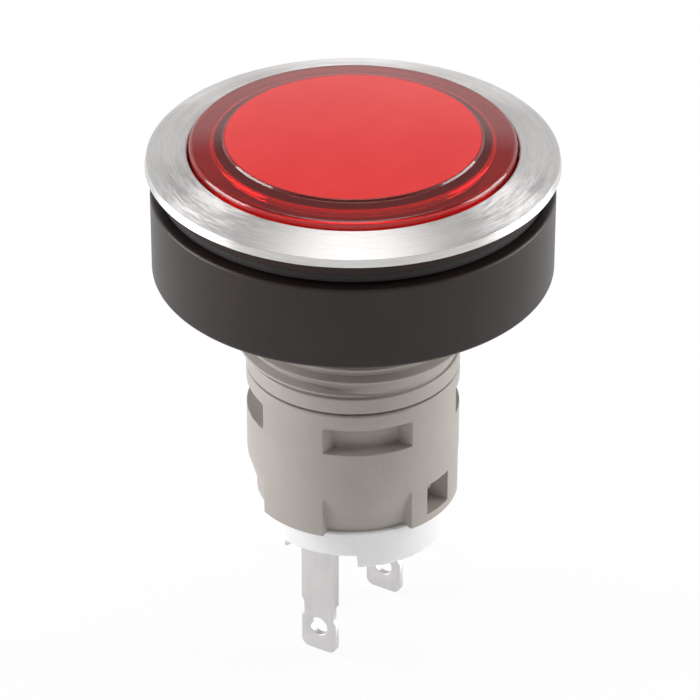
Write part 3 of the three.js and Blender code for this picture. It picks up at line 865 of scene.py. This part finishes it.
def housingAngles():
    s = housingSet
    wanted = set()
    for i in range(s["windows"]):
        middle = s["windowFirst"] + 360 * i / s["windows"]
        for half in (s["windowHalf"], s["floorHalf"]):
            wanted |= {round((middle + half) % 360, 4), round((middle - half) % 360, 4)}
    for middle, wide in s["ramps"]:
        for half in (wide, wide - s["rampSide"]):
            wanted |= {round((middle + half) % 360, 4), round((middle - half) % 360, 4)}
    for turn in (0, 180):
        middle = s["latchFirst"] + turn
        wanted |= {round((middle + s["latchHalf"]) % 360, 4),
                   round((middle - s["latchHalf"]) % 360, 4)}
    fixed = sorted(wanted)
    angles = []
    for i, angle in enumerate(fixed):
        span = (fixed[(i + 1) % len(fixed)] - angle) % 360
        parts = max(1, round(span / s["step"]))
        angles += [(angle + span * k / parts) % 360 for k in range(parts)]
    return sorted(angles)


def fromWindow(angle):
    # degrees from the middle of the nearest window
    s = housingSet
    share = 360 / s["windows"]
    return abs((angle - s["windowFirst"] + share / 2) % share - share / 2)


def rampShare(angle):
    # 0 outside the ramps and 1 on them
    s = housingSet
    inside = max(half - abs((angle - middle + 180) % 360 - 180) for middle, half in s["ramps"])
    return min(1, max(0, inside / s["rampSide"]))


def addHousing(material):
    s = housingSet
    outer = threadSet["core"]
    bottom, top = low("contact_housing"), low("threaded_sleeve") - 0.2
    inner = outer - s["wall"]
    windowTop = top - s["windowDrop"]
    windowLow = windowTop - s["windowHeight"]
    rampTop = bottom + s["rampHeight"]
    latchTop = bottom + s["latchUp"] + s["latchSize"] / 2
    latchLow = latchTop - s["latchSize"]
    spigotTop = high("contact_housing")

    def section(angle):
        away = fromWindow(angle)
        window = min(1, max(0, (s["windowHalf"] - away) / (s["windowHalf"] - s["floorHalf"])))
        ramp = rampShare(angle)
        depth = s["windowDepth"] * window
        lead = min(depth, 0.45)

        def ramped(z):
            return outer - s["rampDepth"] * ramp * max(0, (rampTop - z) / s["rampHeight"])

        outside = [
            (outer - 0.1, top), (outer, top - 0.1), (outer, top - 0.6),
            (outer, windowTop + 0.35), (outer - 0.12 * lead, windowTop + 0.22),
            (outer - 0.4 * lead, windowTop + 0.1), (outer - lead, windowTop + 0.02),
            (outer - depth, windowTop - 0.06), (outer - depth, windowTop - 0.7),
            (outer - depth, windowLow + 0.12 * (1 - window)), (outer, windowLow),
            (outer, windowLow - 0.6), (outer, rampTop + 1.2), (outer, rampTop + 0.35),
            (ramped(latchTop), latchTop), (ramped((latchTop + latchLow) / 2), (latchTop + latchLow) / 2),
            (ramped(latchLow), latchLow), (ramped(bottom + 0.25), bottom + 0.25),
            (ramped(bottom), bottom),
        ]
        inside = [
            (inner, bottom), (inner, latchLow), (inner, (latchTop + latchLow) / 2),
            (inner, latchTop), (inner, spigotTop - s["partition"]),
            (s["stemHole"], spigotTop - s["partition"]), (s["stemHole"], spigotTop),
            (s["spigot"], spigotTop), (s["spigot"], top),
        ]
        return outside + inside

    gaps = [(s["latchFirst"] + turn - s["latchHalf"], s["latchFirst"] + turn + s["latchHalf"],
             (14, 16), (20, 22)) for turn in (0, 180)]
    mesh = wrapped(housingAngles(), section, gaps)
    piece = makePiece("housing", mesh, material, "casing", "grey_plastic", "contact_housing")
    bevel(piece, 0.05)


baseSet = {
    "spigot": 5.6,
    "plate": 1.95,
    "deepRim": 0.95,
    "shallowRim": 0.4,
    "rimWidth": 1.1,
    "notchMiddle": -79,
    "notch": 46,
    "slotPlay": 0.05,
    "pocketX": 6.3,
    "pocketY": 3.8,
    "pocketDepth": 1.2,
    "step": 3,
}


def baseAngles():
    s = baseSet
    wanted = []
    for turn in (0, 180):
        middle = s["notchMiddle"] + turn
        for side in (-1, 1):
            edge = middle + side * s["notch"] / 2
            wanted += [(edge - side * 0.35) % 360, (edge + side * 0.35) % 360]
    fixed = sorted(wanted)
    angles = []
    for i, angle in enumerate(fixed):
        span = (fixed[(i + 1) % len(fixed)] - angle) % 360
        parts = max(1, round(span / s["step"]))
        angles += [(angle + span * k / parts) % 360 for k in range(parts)]
    return sorted(angles)


def rimDepth(angle):
    s = baseSet
    for turn in (0, 180):
        if abs((angle - s["notchMiddle"] - turn + 180) % 360 - 180) < s["notch"] / 2:
            return 0.02
    deep = (angle - s["notchMiddle"]) % 360 < 180
    return s["deepRim"] if deep else s["shallowRim"]


def addBase(material):
    s = baseSet
    outer = high("terminal_base", 1)
    top = low("contact_housing")
    under = top - s["plate"]
    spigotTop = high("terminal_base")

    def section(angle):
        depth = rimDepth(angle)
        inner = outer - s["rimWidth"]
        return [
            (0.0, spigotTop), (s["spigot"] - 0.15, spigotTop), (s["spigot"], spigotTop - 0.15),
            (s["spigot"], top), (outer - 0.08, top), (outer, top - 0.08),
            (outer, under - depth + 0.3), (outer - 0.02, under - depth + 0.18),
            (outer - 0.1, under - depth + 0.07), (outer - 0.28, under - depth),
            (inner, under - depth), (inner, under), (0.0, under),
        ]

    mesh = wrapped(baseAngles(), section)
    bmesh.ops.remove_doubles(mesh, verts=mesh.verts, dist=1e-8)
    bmesh.ops.recalc_face_normals(mesh, faces=mesh.faces)
    piece = makePiece("terminalBase", mesh, material, "casing", "white_plastic", "terminal_base")
    cutter = bmesh.new()
    block(cutter, s["pocketX"], s["pocketY"], spigotTop - s["pocketDepth"], spigotTop + 1)
    for side in (-1, 1):
        block(cutter, bladeSet["width"] + 2 * s["slotPlay"], bladeSet["thickness"] + 2 * s["slotPlay"],
              under - 2, spigotTop + 1, 0, side * bladeSet["offset"])
    cutFrom(piece, cutter)
    nib = bmesh.new()
    h = housingSet
    latchTop = top + h["latchUp"] + h["latchSize"] / 2
    for turn in (0, 180):
        before = len(nib.verts)
        nibTop = latchTop - h["nibPlay"]
        block(nib, h["nibDepth"], h["latchSize"] - 2 * h["nibPlay"], nibTop - h["nibHeight"], nibTop,
              s["spigot"] + h["nibPlay"], 0)
        nib.verts.ensure_lookup_table()
        bmesh.ops.rotate(nib, verts=nib.verts[before:], cent=(0, 0, 0),
                         matrix=Matrix.Rotation(math.radians(h["latchFirst"] + turn), 3, "Z"))
    nibs = makePiece("latchNibs", nib, material, "casing", "white_plastic")
    bevel(nibs, 0.08)


bladeSet = {
    "width": 2.8,
    "thickness": 0.5,
    "offset": 4.4,
    "corner": 0.6,
    "hole": 0.7,
    "holeUp": 2.0,
    "holeSteps": 40,
    "notchUp": 3.3,
    "notchHeight": 1.5,
    "notchDepth": 0.2,
    "edge": 0.05,
    "shelf": 1.75,
}


def bladeOutline(bottom, top):
    s = bladeSet
    half, corner = s["width"] / 2, s["corner"]
    points = []
    for k in range(9):
        angle = math.radians(-90 + 90 * k / 8)
        points.append((half - corner + corner * math.cos(angle), bottom + corner + corner * math.sin(angle)))
    middle, reach = bottom + s["notchUp"], s["notchHeight"] / 2
    points += [(half, middle - reach), (half - 0.6 * s["notchDepth"], middle - 0.85 * reach),
               (half - s["notchDepth"], middle - 0.65 * reach),
               (half - s["notchDepth"], middle + 0.55 * reach),
               (half - 0.6 * s["notchDepth"], middle + 0.8 * reach), (half, middle + reach)]
    points.append((half, top))
    return points + [(-x, z) for x, z in reversed(points)]


def addTab(end, side, material):
    s = bladeSet
    node = f"terminal_blade_{end}"
    bottom, top = low(node), high(node)
    curve = bpy.data.curves.new(f"tab{end}", "CURVE")
    curve.dimensions = "2D"
    curve.fill_mode = "BOTH"
    curve.extrude = (s["thickness"] / 2 - s["edge"]) * mm
    curve.bevel_depth = s["edge"] * mm
    curve.bevel_resolution = 2
    curve.offset = -s["edge"] * mm
    turns = [2 * math.pi * k / s["holeSteps"] for k in range(s["holeSteps"])]
    hole = [(s["hole"] * math.cos(a), bottom + s["holeUp"] + s["hole"] * math.sin(a)) for a in turns]
    for outline in (bladeOutline(bottom, top), hole):
        spline = curve.splines.new("POLY")
        spline.points.add(len(outline) - 1)
        for point, (x, z) in zip(spline.points, outline):
            point.co = (x * mm, z * mm, 0, 1)
        spline.use_cyclic_u = True
    holder = bpy.data.objects.new("tabOutline", curve)
    bpy.context.scene.collection.objects.link(holder)
    bpy.context.view_layer.update()
    depsgraph = bpy.context.evaluated_depsgraph_get()
    flat = bpy.data.meshes.new_from_object(holder.evaluated_get(depsgraph), depsgraph=depsgraph)
    bpy.data.objects.remove(holder)
    mesh = bmesh.new()
    mesh.from_mesh(flat)
    bmesh.ops.remove_doubles(mesh, verts=mesh.verts, dist=1e-7)
    for vertex in mesh.verts:
        x, z, y = vertex.co
        vertex.co = (x, side * s["offset"] * mm + y, z)
    outer = s["offset"] + s["thickness"] / 2
    block(mesh, s["width"], s["shelf"], top - s["thickness"], top, 0, side * (outer - s["shelf"] / 2))
    bmesh.ops.recalc_face_normals(mesh, faces=mesh.faces)
    makePiece(f"tab{end.capitalize()}", mesh, material, "casing", "tinned_brass", node, sharp=50)


redPlastic = redPolycarbonate()
greyPlastic = greyPolyamide()
whitePlastic = whitePolyester()
milkyFilm = milkyPolycarbonate()
nutPlastic = blackNutPolyamide()
flangePlastic = blackFlangePolyamide()
rubber = blackNitrile()
tinned = tinnedBrass()
wire = springSteel()
bronze = phosphorBronze()
silver = silverAlloy()
zinc = zincSteel()

addBezel()
addLens(redPlastic)
addCarrier(whitePlastic, milkyFilm)
print("bezel and lens made")
addFlange(flangePlastic)
addSeal(rubber)
addNut(nutPlastic)
print("flange, seal and nut made")
addSleeve(greyPlastic)
addHousing(greyPlastic)
print("sleeve and housing made")
addBase(whitePlastic)
addTab("front", -1, tinned)
addTab("rear", 1, tinned)
print("base and tabs made")

carriedOver = {
    "wiper_seal": rubber,
    "plunger": whitePlastic,
    "lock_washer": zinc,
    "contact_carrier": flangePlastic,
    "contact_bridge": bronze,
    "return_spring": wire,
    "contact_spring": wire,
    "fixed_contact_front": silver,
    "fixed_contact_rear": silver,
    "bridge_contact_front": silver,
    "bridge_contact_rear": silver,
}
for node, material in carriedOver.items():
    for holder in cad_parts[node].material_slots:
        holder.material = material
print("inner pieces finished")

studioSet = {
    "floorGap": 0.4,
    "floorSize": 3.0,
    "shadowShare": 0.12,
    "world": 0.34,
    "backdropEdge": (0.43, 0.5),  # sines of the elevations between which the white ends
}


def addFloor():
    s = studioSet
    level = low("terminal_blade_front") - s["floorGap"]
    half = s["floorSize"] / 2
    mesh = bmesh.new()
    bmesh.ops.create_grid(mesh, x_segments=8, y_segments=8, size=half)
    for vertex in mesh.verts:
        vertex.co.z = level * mm
    data = bpy.data.meshes.new("floor")
    mesh.to_mesh(data)
    mesh.free()
    floor = bpy.data.objects.new("floor", data)
    bpy.context.scene.collection.objects.link(floor)
    material = bpy.data.materials.new("studio paper, white")
    material.use_nodes = True
    tree = material.node_tree
    tree.nodes.clear()
    paper = addNode(tree, "ShaderNodeBsdfDiffuse", {"Color": linear("f2f2f2")})
    glow = addNode(tree, "ShaderNodeEmission", {"Color": (1, 1, 1, 1), "Strength": 1.0})
    path = addNode(tree, "ShaderNodeLightPath").outputs
    seen = addNode(tree, "ShaderNodeMath", {0: path["Is Camera Ray"], 1: path["Is Glossy Ray"]},
                   operation="MAXIMUM")
    through = addNode(tree, "ShaderNodeMath", {0: seen.outputs[0], 1: path["Is Transmission Ray"]},
                      operation="MAXIMUM")
    share = addNode(tree, "ShaderNodeMath", {0: through.outputs[0], 1: 1 - s["shadowShare"]},
                    operation="MULTIPLY")
    mix = addNode(tree, "ShaderNodeMixShader", {0: share.outputs[0], 1: paper.outputs[0],
                                                2: glow.outputs[0]})
    addNode(tree, "ShaderNodeOutputMaterial", {"Surface": mix.outputs[0]})
    data.materials.append(material)


def addWorld():
    # a dim studio over a white backdrop, which metal and glass show up to the backdrop's edge
    world = bpy.data.worlds.new("studio")
    bpy.context.scene.world = world
    world.use_nodes = True
    tree = world.node_tree
    tree.nodes.clear()
    path = addNode(tree, "ShaderNodeLightPath").outputs
    sky = addNode(tree, "ShaderNodeTexCoord").outputs["Generated"]
    height = addNode(tree, "ShaderNodeSeparateXYZ", {"Vector": sky}).outputs[2]
    whole, gone = studioSet["backdropEdge"]
    backdrop = addNode(tree, "ShaderNodeMapRange", {
        "Value": height, "From Min": whole, "From Max": gone, "To Min": 1.0, "To Max": 0.0})
    shown = addNode(tree, "ShaderNodeMath", {0: path["Is Glossy Ray"], 1: backdrop.outputs[0]},
                    operation="MULTIPLY")
    direct = addNode(tree, "ShaderNodeMath", {
        0: path["Is Camera Ray"], 1: path["Is Transmission Ray"]}, operation="MAXIMUM")
    white = addNode(tree, "ShaderNodeMath", {0: direct.outputs[0], 1: shown.outputs[0]},
                    operation="MAXIMUM")
    dim = addNode(tree, "ShaderNodeBackground", {
        "Color": (1, 1, 1, 1), "Strength": studioSet["world"]})
    bright = addNode(tree, "ShaderNodeBackground", {"Color": (1, 1, 1, 1), "Strength": 1.0})
    mix = addNode(tree, "ShaderNodeMixShader", {
        0: white.outputs[0], 1: dim.outputs[0], 2: bright.outputs[0]})
    addNode(tree, "ShaderNodeOutputWorld", {"Surface": mix.outputs[0]})


def addLamp(name, azimuth, elevation, distance, sizeX, sizeY, power):
    # a soft box seen from the object at that azimuth (0 is the camera's side) and elevation
    az, el = math.radians(azimuth + cameraSet["azimuth"]), math.radians(elevation)
    away = Vector((math.sin(az) * math.cos(el), -math.cos(az) * math.cos(el), math.sin(el)))
    data = bpy.data.lights.new(name, "AREA")
    data.shape = "RECTANGLE"
    data.size, data.size_y = sizeX, sizeY
    data.energy = power
    lamp = bpy.data.objects.new(name, data)
    bpy.context.scene.collection.objects.link(lamp)
    lamp.location = away * distance
    lamp.rotation_euler = (-away).to_track_quat("-Z", "Y").to_euler()


addFloor()
addWorld()
addLamp("overhead strip", 180, 86, 0.5, 0.26, 0.66, 1.15)
addLamp("left box", -94, 8, 0.5, 0.35, 0.5, 3.8)
addLamp("right box", 102, 8, 0.5, 0.35, 0.5, 3.2)
bpy.context.scene.view_settings.view_transform = "Standard"
print("studio ready")
